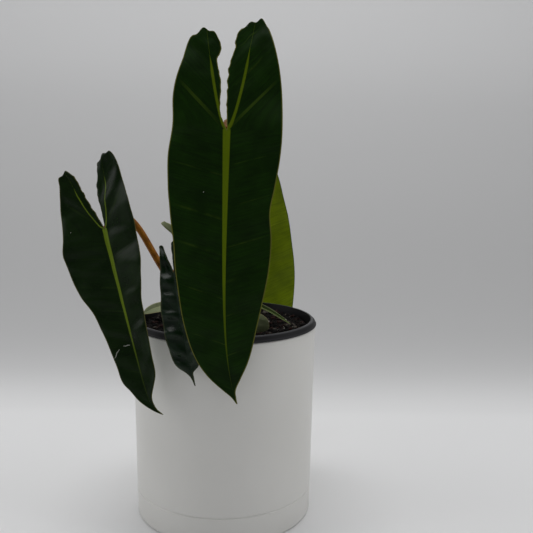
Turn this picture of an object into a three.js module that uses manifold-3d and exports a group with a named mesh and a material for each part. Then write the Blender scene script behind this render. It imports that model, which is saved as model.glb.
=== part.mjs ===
// A potted philodendron: a white cover pot, a black nursery pot hung in it by its rim,
// the potting mix, a short stem, and eight hanging leaves, each a blade on its own stalk.
// Millimetres, +Z up. The origin is the centre of the cover pot's flat underside, and -Y is the front.

import * as THREE from 'three';
import { mergeGeometries, mergeVertices } from 'three/addons/utils/BufferGeometryUtils.js';
import Module from 'manifold-3d';

const wasm = await Module();
wasm.setup();

// ---------------------------------------------------------------- driving dimensions

const fitGap = 0.3; // kept between pieces that touch
const roundSegments = 44; // facets around each pot

// cover pot
const coverHeight = 158;
const coverBaseRadius = 72.8;
const coverTopRadius = 75;
const coverWall = 2.6;
const coverFloor = 5;
const footRounding = 2.5; // bottom corner of the wall
const grooveHeight = 22; // the ring pressed into the wall above the foot
const grooveWidth = 1.6;
const grooveDepth = 0.8;

// nursery pot
const rimOverhang = 1; // how far the rim stands out over the cover pot
const rimHeight = 4.7;
const rimLean = 3; // how far the rim draws in between its lower edge and its lip
const lipWidth = 2;
const nurseryWall = 1.3;
const dripSpace = 18; // under the nursery pot, inside the cover pot
const nurseryFloor = 2;
const nurseryBaseRadius = 55;
const nurseryPlay = 1.2; // between the two pots, just under the rim
const drainHoleRadius = 5;
const drainHoleCount = 6;
const drainCircleRadius = 36;

// potting mix
const mixBelowLip = 6; // mean height of the top of the mix under the pot's lip
const lumpHeight = 1.1;
const stemPitDepth = 26; // how deep the stem is planted

// stem
const stemRadius = 7.5;
const stemTipLength = 12; // above the highest stalk
const stemNodeSpacing = 11; // between the ring scars
const stemRingHeight = 0.6;

// blades
const bladeThickness = 1;
const halfColumns = 4; // facets from midrib to margin
const rowSpacing = 13; // length of a facet along the blade
const sinusWidth = 1.6; // from the leaf's axis to each lobe, beside the stalk

// stalks
const stalkSides = 8;
const stalkSteps = 14;
const fromBelow = 0.6; // how far a stalk turns to meet its blade from the lower side

// Each leaf names where its stalk meets its blade: aim is the direction from the pot's axis in
// degrees (0 = +X, -90 = front), rise is measured upwards from the lip, and outwards the place is
// measured from the rim (reach) where a leaf hangs by it, or from the stem (offStem).
// heading and droop point the midrib, facing and lookUp point the upper side. Pairs hold the left
// and the right half, facing the upper side: halfWidth at the stalk, lobe is how far a lobe stands
// beyond it, and lobeAside how far from the axis its top is. parting is high where the lobes stay
// close together and low where they spread. bow bends the midrib forwards, tipSweep draws the tip
// to one side, fold raises both halves into a V, and the ripples are waves along the margin. The
// stalk leaves the stem at node above the mix, at lift degrees, and comes down on the blade at
// dive degrees; stretch and arch say how far it holds its first and last direction.
const leaves = [
  {
    name: 'front', aim: -86, reach: 4.2, rise: 149,
    heading: -117, droop: 86.8, facing: -90, lookUp: 0, length: 194,
    halfWidth: [41, 39], lobe: [75, 78], lobeAside: [16, 25], parting: 4,
    bow: 7, tipSweep: 13.5, fold: 9, ripples: 3.5, rippleHeight: 2.6, ripplePhase: 0.4,
    node: 42.5, lift: 72, stretch: 0.6, dive: 62, arch: 0.3, stalkRadius: 2.9,
  },
  {
    name: 'left', aim: -150, reach: 24.3, rise: 76.5,
    heading: -36.5, droop: 70.3, facing: -112, lookUp: 8, length: 144,
    halfWidth: [34, 30], lobe: [50, 53], lobeAside: [26, 22], parting: 1.5,
    bow: 1, tipSweep: 6, fold: 12, ripples: 3, rippleHeight: 2.2, ripplePhase: 2.1,
    node: 14.5, lift: 4, stretch: 0.5, dive: 68, arch: 0.42, stalkRadius: 2.8,
  },
  {
    name: 'dark', aim: -118, reach: -4, rise: 46,
    heading: -49, droop: 71.5, facing: -100, lookUp: 5, length: 84,
    halfWidth: [14, 14], lobe: [23, 25], lobeAside: [7, 5], parting: 1.6,
    bow: 4, tipSweep: 2, fold: 14, ripples: 4, rippleHeight: 1.1, ripplePhase: 1.2,
    node: 9, lift: 52, stretch: 0.5, dive: 60, arch: 0.35, stalkRadius: 1.8,
  },
  {
    name: 'back', aim: 82.5, reach: 17, rise: 88,
    heading: 14, droop: 82, facing: 84, lookUp: 0, length: 190,
    halfWidth: [40, 40], lobe: [80, 86], lobeAside: [22, 18], parting: 4,
    bow: 7, tipSweep: 8, fold: 9, ripples: 3, rippleHeight: 2.6, ripplePhase: 1.4,
    node: 48.5, lift: 62, stretch: 0.5, dive: 64, arch: 0.35, stalkRadius: 2.9,
  },
  {
    name: 'middle', aim: 164, offStem: 21.5, rise: 54,
    heading: -100, droop: 84, facing: -100, lookUp: 0, length: 58,
    halfWidth: [15, 14], lobe: [24, 22], lobeAside: [26, 8], parting: 1.5,
    bow: 3, tipSweep: 2, fold: 10, ripples: 2, rippleHeight: 0.8, ripplePhase: 0.6,
    node: 27.5, lift: 62, stretch: 0.5, dive: 55, arch: 0.4, stalkRadius: 1.6,
  },
  {
    name: 'low_left', aim: 158, reach: -40.5, rise: 9.5,
    heading: -175, droop: 13, facing: -90, lookUp: 48, length: 38,
    halfWidth: [6, 9], lobe: [7, 9], lobeAside: [4, 5], parting: 2,
    bow: 2, tipSweep: 2, fold: 16, ripples: 2, rippleHeight: 0.5, ripplePhase: 0,
    node: 4.5, lift: 35, stretch: 0.4, dive: -25, arch: 0.35, stalkRadius: 1.3,
  },
  {
    name: 'low_front', aim: -60, offStem: 41, rise: -1.5,
    heading: 150, droop: -80, facing: -76, lookUp: 10, length: 16,
    halfWidth: [13, 13], lobe: [3, 3], lobeAside: [5, 5], parting: 3,
    bow: 2, tipSweep: 0, fold: 8, ripples: 1, rippleHeight: 0.4, ripplePhase: 0,
    node: 5, lift: 8, stretch: 0.4, dive: 0, arch: 0.3, stalkRadius: 1.3,
  },
  {
    name: 'low_right', aim: 5, offStem: 16.5, rise: 9.5,
    heading: -28, droop: 20, facing: -90, lookUp: 60, length: 40,
    halfWidth: [3.6, 3.6], lobe: [4, 4], lobeAside: [2.5, 2.5], parting: 3,
    bow: 2.5, tipSweep: 1, fold: 36, ripples: 1, rippleHeight: 0.3, ripplePhase: 0,
    node: 10.5, lift: 40, stretch: 0.4, dive: -35, arch: 0.35, stalkRadius: 1.3,
  },
];

// ---------------------------------------------------------------- sizes that follow

const rimBottom = coverHeight + fitGap;
const lipTop = rimBottom + rimHeight;
const rimRadius = coverTopRadius + rimOverhang;
const lipRadius = rimRadius - rimLean;
const nurseryTopRadius = coverTopRadius - coverWall - nurseryPlay;
const nurseryBottom = coverFloor + dripSpace;
const mixTop = lipTop - mixBelowLip;
const stemTop = mixTop + Math.max(...leaves.map((leaf) => leaf.node)) + stemTipLength;

// ---------------------------------------------------------------- helpers

function direction(azimuth, elevation) {
  const a = THREE.MathUtils.degToRad(azimuth);
  const e = THREE.MathUtils.degToRad(elevation);
  return new THREE.Vector3(Math.cos(e) * Math.cos(a), Math.cos(e) * Math.sin(a), Math.sin(e));
}

function surface(colour, roughness) {
  return new THREE.MeshStandardMaterial({ color: colour, roughness, metalness: 0 });
}

// A solid of revolution about Z from an outline given as [radius, height] pairs.
function lathe(outline, segments = roundSegments) {
  const points = outline.map(([radius, height]) => new THREE.Vector2(radius, height));
  return new THREE.LatheGeometry(points, segments).rotateX(Math.PI / 2);
}

function toManifold(geometry) {
  const bare = geometry.clone();
  for (const name of Object.keys(bare.attributes)) {
    if (name !== 'position') bare.deleteAttribute(name);
  }
  const merged = mergeVertices(bare, 1e-4);
  return new wasm.Manifold(new wasm.Mesh({
    numProp: 3,
    vertProperties: new Float32Array(merged.attributes.position.array),
    triVerts: new Uint32Array(merged.index.array),
  }));
}

function fromManifold(solid) {
  const { vertProperties, triVerts } = solid.getMesh();
  const geometry = new THREE.BufferGeometry();
  geometry.setAttribute('position', new THREE.BufferAttribute(vertProperties, 3));
  geometry.setIndex(new THREE.BufferAttribute(triVerts, 1));
  geometry.computeVertexNormals();
  return geometry;
}

// Gives an open sheet its thickness: an upper and a lower skin, and a wall along every free edge.
function thicken(sheet, thickness) {
  sheet.computeVertexNormals();
  const place = sheet.attributes.position;
  const normal = sheet.attributes.normal;
  const count = place.count;
  const skins = [];
  for (const side of [thickness / 2, -thickness / 2]) {
    for (let i = 0; i < count; i += 1) {
      const point = new THREE.Vector3().fromBufferAttribute(place, i);
      point.addScaledVector(new THREE.Vector3().fromBufferAttribute(normal, i), side);
      skins.push(point.x, point.y, point.z);
    }
  }
  const faces = [];
  const edges = new Map();
  const corners = sheet.index.array;
  for (let i = 0; i < corners.length; i += 3) {
    const [a, b, c] = [corners[i], corners[i + 1], corners[i + 2]];
    if (a === b || b === c || c === a) continue;
    faces.push(a, b, c, a + count, c + count, b + count);
    for (const [from, to] of [[a, b], [b, c], [c, a]]) edges.set(`${from}:${to}`, [from, to]);
  }
  for (const [from, to] of edges.values()) {
    if (edges.has(`${to}:${from}`)) continue;
    faces.push(from, from + count, to + count, from, to + count, to);
  }
  const solid = new THREE.BufferGeometry();
  solid.setAttribute('position', new THREE.Float32BufferAttribute(skins, 3));
  solid.setIndex(faces);
  solid.computeVertexNormals();
  return solid;
}

// ---------------------------------------------------------------- pots and mix

// A cup with a flat underside. The groove is a shallow V around the wall.
function coverPot() {
  const wallRadius = (height) => THREE.MathUtils.lerp(coverBaseRadius, coverTopRadius, height / coverHeight);
  const corner = footRounding * (1 - Math.SQRT1_2);
  const grooveBottom = grooveHeight - grooveWidth / 2;
  const grooveTop = grooveHeight + grooveWidth / 2;
  const mouthRounding = coverWall / 4;
  return lathe([
    [0, 0],
    [wallRadius(0) - footRounding, 0],
    [wallRadius(0) - corner, corner],
    [wallRadius(footRounding), footRounding],
    [wallRadius(grooveBottom), grooveBottom],
    [wallRadius(grooveHeight) - grooveDepth, grooveHeight],
    [wallRadius(grooveTop), grooveTop],
    [coverTopRadius, coverHeight - mouthRounding],
    [coverTopRadius - mouthRounding, coverHeight],
    [coverTopRadius - coverWall + mouthRounding, coverHeight],
    [coverTopRadius - coverWall, coverHeight - mouthRounding],
    [wallRadius(coverFloor) - coverWall, coverFloor],
    [0, coverFloor],
  ]);
}

// The radius of the nursery pot's outer wall at a height.
function nurseryRadius(height) {
  const share = (height - nurseryBottom) / (rimBottom - nurseryBottom);
  return THREE.MathUtils.lerp(nurseryBaseRadius, nurseryTopRadius, share);
}

// A tapered pot whose rim turns outwards over the cover pot's mouth, with drain holes in its floor.
function nurseryPot() {
  const floorTop = nurseryBottom + nurseryFloor;
  const body = lathe([
    [0, nurseryBottom],
    [nurseryBaseRadius, nurseryBottom],
    [nurseryTopRadius, rimBottom],
    [rimRadius, rimBottom],
    [rimRadius - rimLean * 0.35, rimBottom + rimHeight * 0.65],
    [lipRadius, lipTop],
    [lipRadius - lipWidth, lipTop],
    [nurseryTopRadius - nurseryWall, rimBottom],
    [nurseryRadius(floorTop) - nurseryWall, floorTop],
    [0, floorTop],
  ]);
  let pot = toManifold(body);
  for (let i = 0; i < drainHoleCount; i += 1) {
    const place = direction((360 * i) / drainHoleCount, 0).multiplyScalar(drainCircleRadius);
    const drill = new THREE.CylinderGeometry(drainHoleRadius, drainHoleRadius, 3 * nurseryFloor, 12);
    drill.rotateX(Math.PI / 2).translate(place.x, place.y, nurseryBottom + nurseryFloor / 2);
    pot = pot.subtract(toManifold(drill));
  }
  return fromManifold(pot);
}

// The mix fills the nursery pot, with a lumpy top and a pit that the stem stands in.
function pottingMix() {
  const floorTop = nurseryBottom + nurseryFloor + fitGap;
  const inside = (height) => nurseryRadius(height) - nurseryWall - 2 * fitGap;
  const pitRadius = stemRadius + 2 * fitGap;
  const pitFloor = mixTop - stemPitDepth;
  const brim = inside(mixTop);
  const outline = [
    [0, floorTop],
    [inside(floorTop), floorTop],
    [brim, mixTop - lumpHeight],
  ];
  const rings = 6;
  for (let i = 1; i <= rings; i += 1) {
    outline.push([THREE.MathUtils.lerp(brim, pitRadius, i / rings), mixTop]);
  }
  outline.push([pitRadius, pitFloor], [0, pitFloor]);
  const mix = lathe(outline);
  const place = mix.attributes.position;
  for (let i = 0; i < place.count; i += 1) {
    if (place.getZ(i) < mixTop - 1e-3) continue;
    const lump = Math.sin(place.getX(i) * 0.21 + 1) + Math.sin(place.getY(i) * 0.26 + place.getX(i) * 0.1);
    place.setZ(i, mixTop + (lumpHeight / 2) * lump);
  }
  return mix;
}

// ---------------------------------------------------------------- stem

// The stem narrows a little upwards, and a low ring stands at each old leaf scar.
function stemRadiusAt(height) {
  const share = THREE.MathUtils.clamp((height - mixTop) / (stemTop - mixTop), 0, 1);
  return stemRadius * (1 - 0.2 * share);
}

function stem() {
  const foot = mixTop - stemPitDepth + fitGap;
  const outline = [[0, foot], [stemRadius * 0.8, foot], [stemRadius, foot + stemRadius * 0.2]];
  const shoulder = stemTop - stemRadius;
  for (let height = mixTop; height < shoulder - stemNodeSpacing / 2; height += stemNodeSpacing) {
    const radius = stemRadiusAt(height) - stemRingHeight;
    outline.push([radius, height], [radius, height + stemNodeSpacing * 0.7]);
    outline.push([stemRadiusAt(height), height + stemNodeSpacing * 0.85]);
  }
  outline.push([stemRadiusAt(shoulder) - stemRingHeight, shoulder]);
  outline.push([stemRadius * 0.55, stemTop - stemRadius * 0.25], [0, stemTop]);
  return lathe(outline, 16);
}

// ---------------------------------------------------------------- leaves

// The leaf's own axes: along runs down the midrib, out is the upper side, across is to the side.
function leafFrame(leaf) {
  const hangsByRim = leaf.offStem === undefined;
  const radius = hangsByRim ? rimRadius + leaf.reach : stemRadius + leaf.offStem;
  const attach = direction(leaf.aim, 0).multiplyScalar(radius);
  attach.z = lipTop + leaf.rise;
  const along = direction(leaf.heading, -leaf.droop);
  const out = direction(leaf.facing, leaf.lookUp);
  out.addScaledVector(along, -out.dot(along)).normalize();
  const across = new THREE.Vector3().crossVectors(out, along);
  return { attach, along, out, across };
}

// Distance from the leaf's axis to the margin, and to the edge of the sinus beside the stalk.
// down is 0 at the stalk, 1 at the tip, and negative in the lobes. half is 0 or 1.
function lobeShare(leaf, down, half) {
  return Math.min(1, (-down * leaf.length) / leaf.lobe[half]);
}

function marginAt(leaf, down, half) {
  const width = leaf.halfWidth[half];
  if (down >= 0) return width * (1 - down ** 3);
  const top = leaf.lobeAside[half];
  return top + (width - top) * Math.sqrt(1 - lobeShare(leaf, down, half) ** 2.2);
}

function sinusAt(leaf, down, half) {
  if (down >= 0) return 0;
  const share = lobeShare(leaf, down, half);
  const gap = Math.min(1, share * 4) * sinusWidth;
  return gap + (leaf.lobeAside[half] - gap) * (1 - Math.sqrt(1 - share ** leaf.parting));
}

// The place of a point of the blade: down along the midrib, aside from the axis in one half.
function bladePoint(leaf, frame, down, aside, half) {
  const side = 2 * half - 1;
  const reach = aside / leaf.halfWidth[half];
  const foldAngle = THREE.MathUtils.degToRad(leaf.fold);
  const waves = 2 * Math.PI * leaf.ripples * down + leaf.ripplePhase + side;
  const ripple = leaf.rippleHeight * reach ** 1.5 * Math.sin(waves);
  const lift = 4 * leaf.bow * down * (1 - down) + aside * Math.sin(foldAngle) + ripple;
  const sweep = down > 0 ? leaf.tipSweep * down ** 6 : 0;
  return frame.attach.clone()
    .addScaledVector(frame.along, leaf.length * down)
    .addScaledVector(frame.across, side * aside * Math.cos(foldAngle) + sweep)
    .addScaledVector(frame.out, lift);
}

// One half of the blade: a plane's grid laid from the top of its lobe to the tip.
function halfBlade(leaf, frame, half) {
  const lobeRows = Math.max(3, Math.ceil(Math.max(...leaf.lobe) / rowSpacing) + 1);
  const mainRows = Math.max(5, Math.ceil(leaf.length / rowSpacing));
  const rows = lobeRows + mainRows;
  const plane = new THREE.PlaneGeometry(1, 1, halfColumns, rows);
  const place = plane.attributes.position;
  for (let i = 0; i < place.count; i += 1) {
    const share = place.getX(i) + 0.5;
    const row = Math.round((0.5 - place.getY(i)) * rows) - lobeRows;
    const quarterTurn = (Math.abs(row) / (row < 0 ? lobeRows : mainRows)) * (Math.PI / 2);
    const down = row < 0
      ? (-leaf.lobe[half] / leaf.length) * Math.sin(quarterTurn)
      : 0.35 * Math.sin(quarterTurn) + 0.65 * (row / mainRows);
    const inner = sinusAt(leaf, down, half);
    const aside = inner + (marginAt(leaf, down, half) - inner) * share;
    const point = bladePoint(leaf, frame, down, aside, half);
    place.setXYZ(i, point.x, point.y, point.z);
  }
  if (half === 1) {
    const corners = plane.index.array;
    for (let i = 0; i < corners.length; i += 3) {
      [corners[i], corners[i + 1]] = [corners[i + 1], corners[i]];
    }
  }
  plane.deleteAttribute('normal');
  plane.deleteAttribute('uv');
  return plane;
}

function blade(leaf) {
  const frame = leafFrame(leaf);
  const halves = mergeGeometries([halfBlade(leaf, frame, 0), halfBlade(leaf, frame, 1)]);
  return thicken(mergeVertices(halves, 1e-3), bladeThickness);
}

// The stalk leaves the stem's side, arches over and meets the blade from its lower side.
function stalk(leaf) {
  const frame = leafFrame(leaf);
  const height = mixTop + leaf.node;
  const leave = direction(leaf.aim, leaf.lift);
  const arrive = direction(leaf.aim, -leaf.dive).addScaledVector(frame.out, fromBelow).normalize();
  const radius = leaf.stalkRadius;
  const offStem = stemRadiusAt(height) + fitGap + radius * Math.sin(THREE.MathUtils.degToRad(leaf.lift));
  const start = direction(leaf.aim, 0).multiplyScalar(offStem);
  start.z = height;
  const tilt = Math.sqrt(Math.max(0, 1 - arrive.dot(frame.out) ** 2));
  const bowSlope = (4 * leaf.bow) / leaf.length;
  const behind = bladeThickness / 2 + fitGap + radius * (tilt + bowSlope);
  const end = frame.attach.clone().addScaledVector(frame.out, -behind);
  const span = start.distanceTo(end);
  const path = new THREE.CubicBezierCurve3(
    start,
    start.clone().addScaledVector(leave, span * leaf.stretch),
    end.clone().addScaledVector(arrive, -span * leaf.arch),
    end,
  );
  const section = new THREE.Shape().absarc(0, 0, radius, 0, 2 * Math.PI);
  return new THREE.ExtrudeGeometry(section, {
    steps: stalkSteps,
    curveSegments: stalkSides / 2, // a whole circle is drawn as two of these
    bevelEnabled: false,
    extrudePath: path,
  });
}

// ---------------------------------------------------------------- the plant

const plant = new THREE.Group();

function add(name, geometry, material) {
  const mesh = new THREE.Mesh(geometry, material);
  mesh.name = name;
  plant.add(mesh);
}

add('cover_pot', coverPot(), surface('#e9e7e2', 0.35));
add('nursery_pot', nurseryPot(), surface('#23221f', 0.5));
add('potting_mix', pottingMix(), surface('#1c1712', 0.95));
add('stem', stem(), surface('#5a4a22', 0.6));

const bladeColours = {
  front: '#16270c', left: '#18240f', dark: '#101c0b', back: '#5f7410',
  middle: '#56603c', low_left: '#66704e', low_front: '#33401c', low_right: '#5c6a40',
};

for (const leaf of leaves) {
  add(`${leaf.name}_blade`, blade(leaf), surface(bladeColours[leaf.name], 0.4));
  add(`${leaf.name}_stalk`, stalk(leaf), surface('#6b4516', 0.5));
}

export default plant;
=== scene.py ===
# %% [markdown]
# # A potted philodendron
# A young philodendron with long, hanging, arrow-shaped leaves grows in a black nursery pot, and the
# nursery pot hangs by its rim in a plain white cover pot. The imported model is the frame: it says how
# big everything is and where it stands. Here each solid gets its real surface: fine blades with ribs,
# veins and wavy margins, stalks that clasp the stem, and a mix with bark and perlite in it.

# %% Load the frame
import math
import random

import bmesh
import bpy
from mathutils import Matrix, Vector, noise


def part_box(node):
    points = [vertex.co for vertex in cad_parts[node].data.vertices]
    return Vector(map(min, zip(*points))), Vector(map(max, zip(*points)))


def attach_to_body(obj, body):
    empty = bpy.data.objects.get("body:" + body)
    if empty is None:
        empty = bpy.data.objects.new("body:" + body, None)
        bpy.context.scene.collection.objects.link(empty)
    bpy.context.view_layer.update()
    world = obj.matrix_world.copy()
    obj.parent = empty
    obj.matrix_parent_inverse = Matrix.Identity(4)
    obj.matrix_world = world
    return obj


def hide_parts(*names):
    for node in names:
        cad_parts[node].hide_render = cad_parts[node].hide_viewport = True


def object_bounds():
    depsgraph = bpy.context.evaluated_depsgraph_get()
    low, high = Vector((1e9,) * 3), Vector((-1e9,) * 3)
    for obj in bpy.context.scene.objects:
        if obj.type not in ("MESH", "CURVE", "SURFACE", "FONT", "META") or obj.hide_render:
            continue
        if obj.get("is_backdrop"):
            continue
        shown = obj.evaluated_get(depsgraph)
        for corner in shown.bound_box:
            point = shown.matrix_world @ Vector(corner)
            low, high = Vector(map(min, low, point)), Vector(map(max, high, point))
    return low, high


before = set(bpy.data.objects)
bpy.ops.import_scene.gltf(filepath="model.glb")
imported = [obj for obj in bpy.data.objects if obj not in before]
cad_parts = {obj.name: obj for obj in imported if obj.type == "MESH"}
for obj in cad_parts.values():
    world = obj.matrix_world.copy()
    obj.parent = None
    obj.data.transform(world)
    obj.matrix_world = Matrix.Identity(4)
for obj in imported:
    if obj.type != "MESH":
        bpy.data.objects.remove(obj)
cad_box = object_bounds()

mm = 0.001
print("CAD box:", [round(v / mm, 1) for corner in cad_box for v in corner], "mm")

# %% [markdown]
# ## Sizes taken from the frame
# The two pots, the mix and the stem are round and centred on the Z axis, so the boxes of their nodes
# give every radius and height that the finer pieces have to agree with.

# %% Radii and heights
cover_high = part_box("cover_pot")[1]
nursery_low, nursery_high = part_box("nursery_pot")
mix_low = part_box("potting_mix")[0]
stem_low, stem_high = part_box("stem")

mix_below_lip = 6 * mm
cover_radius = cover_high.x
cover_height = cover_high.z
rim_radius = nursery_high.x
lip_height = nursery_high.z
mix_height = lip_height - mix_below_lip
stem_radius = stem_high.x
stem_height = stem_high.z
print("rim", round(2 * rim_radius / mm, 1), "mm across, lip at", round(lip_height / mm, 1), "mm")

# %% [markdown]
# ## Small helpers
# A finished piece is a mesh whose object sits at the origin, unturned and unscaled. `finish_piece`
# turns a bmesh into such a piece and hides the nodes of the frame that it stands for.

# %% Turn a bmesh into a mesh, and put data in the scene
def mesh_of(bm, name):
    mesh = bpy.data.meshes.new(name)
    bm.to_mesh(mesh)
    bm.free()
    return mesh


def in_scene(name, data):
    made = bpy.data.objects.new(name, data)
    bpy.context.scene.collection.objects.link(made)
    return made


# %% Finish a piece
def finish_piece(bm, name, materials, nodes, smooth_angle=40):
    mesh = mesh_of(bm, name)
    piece = in_scene(name, mesh)
    for material in materials:
        mesh.materials.append(material)
    mesh.shade_smooth()
    mesh.set_sharp_from_angle(angle=math.radians(smooth_angle))
    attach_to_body(piece, "root")
    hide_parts(*nodes)
    print(name, "has", len(mesh.polygons), "faces")
    return piece


# %% Spin an outline into a closed round solid
def lathe(outline, steps):
    """outline is a list of (radius, height) in metres that starts and ends on the axis."""
    bm = bmesh.new()
    corners = [bm.verts.new((radius, 0, height)) for radius, height in outline]
    for first, second in zip(corners, corners[1:]):
        bm.edges.new((first, second))
    bmesh.ops.spin(
        bm, geom=bm.verts[:] + bm.edges[:], cent=(0, 0, 0), axis=(0, 0, 1),
        angle=2 * math.pi, steps=steps, use_merge=True,
    )
    bmesh.ops.remove_doubles(bm, verts=bm.verts, dist=0.01 * mm)
    bmesh.ops.recalc_face_normals(bm, faces=bm.faces)
    return bm


# %% [markdown]
# A material is a small tree of nodes. One function adds a node with its settings and its links. A
# link is given as the socket that it comes from, or as a node, whose first output in use is meant.
# Anything else is set on the socket itself.

# %% Add a node, and turn a hex colour to linear
def node(tree, kind, inputs=None, **settings):
    made = tree.nodes.new("ShaderNode" + kind)
    for name, value in settings.items():
        setattr(made, name, value)
    for name, value in (inputs or {}).items():
        if isinstance(value, bpy.types.Node):
            value = next(socket for socket in value.outputs if socket.enabled)
        if isinstance(value, bpy.types.NodeSocket):
            tree.links.new(value, made.inputs[name])
        else:
            made.inputs[name].default_value = value
    return made


def linear(hex_colour):
    channels = [int(hex_colour[i:i + 2], 16) / 255 for i in (1, 3, 5)]
    return [c / 12.92 if c <= 0.04045 else ((c + 0.055) / 1.055) ** 2.4 for c in channels] + [1]


def new_material(name):
    material = bpy.data.materials.new(name)
    material.use_nodes = True
    material.node_tree.nodes.clear()
    return material, material.node_tree


def set_stops(ramp, stops):
    """stops is a list of (place along the ramp, linear colour)."""
    while len(ramp.elements) < len(stops):
        ramp.elements.new(0.5)
    for element, (place, colour) in zip(ramp.elements, stops):
        element.position = place
        element.color = colour


# %% [markdown]
# ## Camera
# The camera stands in front of the pot, a little above the leaves' middle, and looks slightly down.
# It is placed by its distance, its pitch and a very small roll.

# %% Camera
camera_target = Vector((34.2, 0, 205.5)) * mm
camera_distance = 589.7 * mm
camera_pitch = math.radians(7.88)
camera_roll = math.radians(0.65)

camera_data = bpy.data.cameras.new("camera")
camera_data.sensor_width = 36
camera_data.lens = 48.37
camera = in_scene("camera", camera_data)
back = Vector((0, -math.cos(camera_pitch), math.sin(camera_pitch)))
turn = back.to_track_quat("Z", "Y").to_matrix().to_4x4() @ Matrix.Rotation(camera_roll, 4, "Z")
camera.matrix_world = Matrix.Translation(camera_target + back * camera_distance) @ turn
bpy.context.scene.camera = camera
print("camera at", [round(v / mm) for v in camera.matrix_world.translation], "mm")

# %% [markdown]
# ## Studio
# The plant stands on a white sheet that runs back flat and then rises in one soft curve, so there is
# no line between floor and wall. Big soft lamps above and beside it, and an even pale surround, give
# the weak, wrapping light of a light tent. Colours are shown without a film look, so that a material's
# hex value can be trusted.

# %% Sheet behind and below the plant
sheet_half_width = 2.6
sheet_front = -2.2
curve_start = 0.42
curve_radius = 1.0
wall_height = 3.2

# The sheet is painted grey where it bends up, a painted shade for the fall-off of light in a tent lit
# from above. Each stop is how far back it lies in metres, and the paper's painted brightness there.
paper_painted_shade_stops = [
    (0.24, 0.77), (0.36, 0.59), (0.48, 0.51), (0.60, 0.47), (0.76, 0.455), (0.90, 0.46),
    (1.04, 0.49), (1.16, 0.53), (1.25, 0.57), (1.32, 0.655), (1.40, 0.75),
]
paper_start, paper_end = 0.2, 1.45
paper, tree = new_material("matt_white_paper_backdrop_painted_shade")
paper_place = node(tree, "TexCoord").outputs["Object"]
paper_split = node(tree, "SeparateXYZ", {"Vector": paper_place})
paper_share = node(tree, "MapRange", {
    "Value": paper_split.outputs["Y"], "From Min": paper_start, "From Max": paper_end,
})
# Painted shade: this ramp greys the white sheet by how far back it lies.
paper_painted_shade = node(tree, "ValToRGB", {"Fac": paper_share})
paper_painted_shade.color_ramp.interpolation = "B_SPLINE"
set_stops(paper_painted_shade.color_ramp, [
    ((away - paper_start) / (paper_end - paper_start), (tone, tone, tone, 1)) for away, tone in paper_painted_shade_stops
])
paper_shader = node(tree, "BsdfPrincipled", {"Base Color": paper_painted_shade, "Roughness": 0.9})
node(tree, "OutputMaterial", {"Surface": paper_shader})

bm = bmesh.new()
sheet_line = [Vector((-sheet_half_width, sheet_front, 0)), Vector((-sheet_half_width, curve_start, 0))]
for i in range(1, 25):
    turned = math.radians(90) * i / 24
    sheet_line.append(Vector((
        -sheet_half_width,
        curve_start + curve_radius * math.sin(turned),
        curve_radius * (1 - math.cos(turned)),
    )))
sheet_line.append(Vector((-sheet_half_width, curve_start + curve_radius, wall_height)))
edges = []
corners = [bm.verts.new(point) for point in sheet_line]
for first, second in zip(corners, corners[1:]):
    edges.append(bm.edges.new((first, second)))
swept = bmesh.ops.extrude_edge_only(bm, edges=edges)
moved = [g for g in swept["geom"] if isinstance(g, bmesh.types.BMVert)]
bmesh.ops.translate(bm, verts=moved, vec=(2 * sheet_half_width, 0, 0))
mesh = mesh_of(bm, "floor")
mesh.materials.append(paper)
mesh.shade_smooth()
floor = in_scene("floor", mesh)
floor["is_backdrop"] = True

# %% Soft light
def soft_lamp(name, place, aim, width, height, watts):
    data = bpy.data.lights.new(name, "AREA")
    data.shape = "RECTANGLE"
    data.size, data.size_y = width, height
    data.energy = watts
    lamp = in_scene(name, data)
    place = Vector(place)
    facing = (Vector(aim) - place).to_track_quat("-Z", "Y").to_matrix().to_4x4()
    lamp.matrix_world = Matrix.Translation(place) @ facing
    return lamp


soft_lamp("top_softbox", (0, 0.1, 1.7), (0, 0.05, 0), 1.4, 1.2, 13)
soft_lamp("left_softbox", (-1.5, -0.1, 0.9), (0, 0, 0.2), 1.2, 1.2, 6.0)
soft_lamp("right_softbox", (1.5, -0.05, 0.9), (0, 0, 0.2), 1.2, 1.2, 4.8)

world = bpy.data.worlds.new("pale_surround")
world.use_nodes = True
world.node_tree.nodes.clear()
surround = node(world.node_tree, "Background", {"Color": (0.96, 0.97, 1, 1), "Strength": 0.3})
node(world.node_tree, "OutputWorld", {"Surface": surround})
bpy.context.scene.world = world
bpy.context.scene.view_settings.view_transform = "Standard"

# %% [markdown]
# ## Cover pot
# The cover pot is moulded polypropylene: white, satin, almost straight, with a ring groove above its
# foot. A wall of revolution is an outline spun around the Z axis. The groove is a real dip in the
# outline, since its shadow is what shows it. Moulded plastic has a very fine, soft unevenness, which
# keeps its gloss from looking like glass.

# %% White moulded polypropylene
white_plastic, tree = new_material("moulded_polypropylene_satin_white")
place = node(tree, "TexCoord").outputs["Object"]
grain_size = 0.9 * mm
grain = node(tree, "TexNoise", {"Vector": place, "Scale": 1 / grain_size, "Detail": 2.0})
cloud = node(tree, "TexNoise", {"Vector": place, "Scale": 18.0, "Detail": 3.0})
tint = node(tree, "Mix", {
    "Factor": cloud, "A": linear("#d6d5d0"), "B": linear("#dddcd8"),
}, data_type="RGBA")
gloss = node(tree, "MapRange", {"Value": cloud, "To Min": 0.34, "To Max": 0.44})
skin = node(tree, "Bump", {"Height": grain, "Strength": 0.12, "Distance": 0.06 * mm})
shader = node(tree, "BsdfPrincipled", {
    "Base Color": tint, "Roughness": gloss, "IOR": 1.49,
    "Normal": skin, "Subsurface Weight": 0.0,
})
node(tree, "OutputMaterial", {"Surface": shader})

# %% Cover pot outline, spun
foot_radius = 72.8 * mm
wall = 2.6 * mm
floor_thickness = 5 * mm
foot_rounding = 2.5 * mm
groove_height = 22 * mm
groove_half_width = 0.9 * mm
groove_depth = 0.7 * mm


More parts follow.
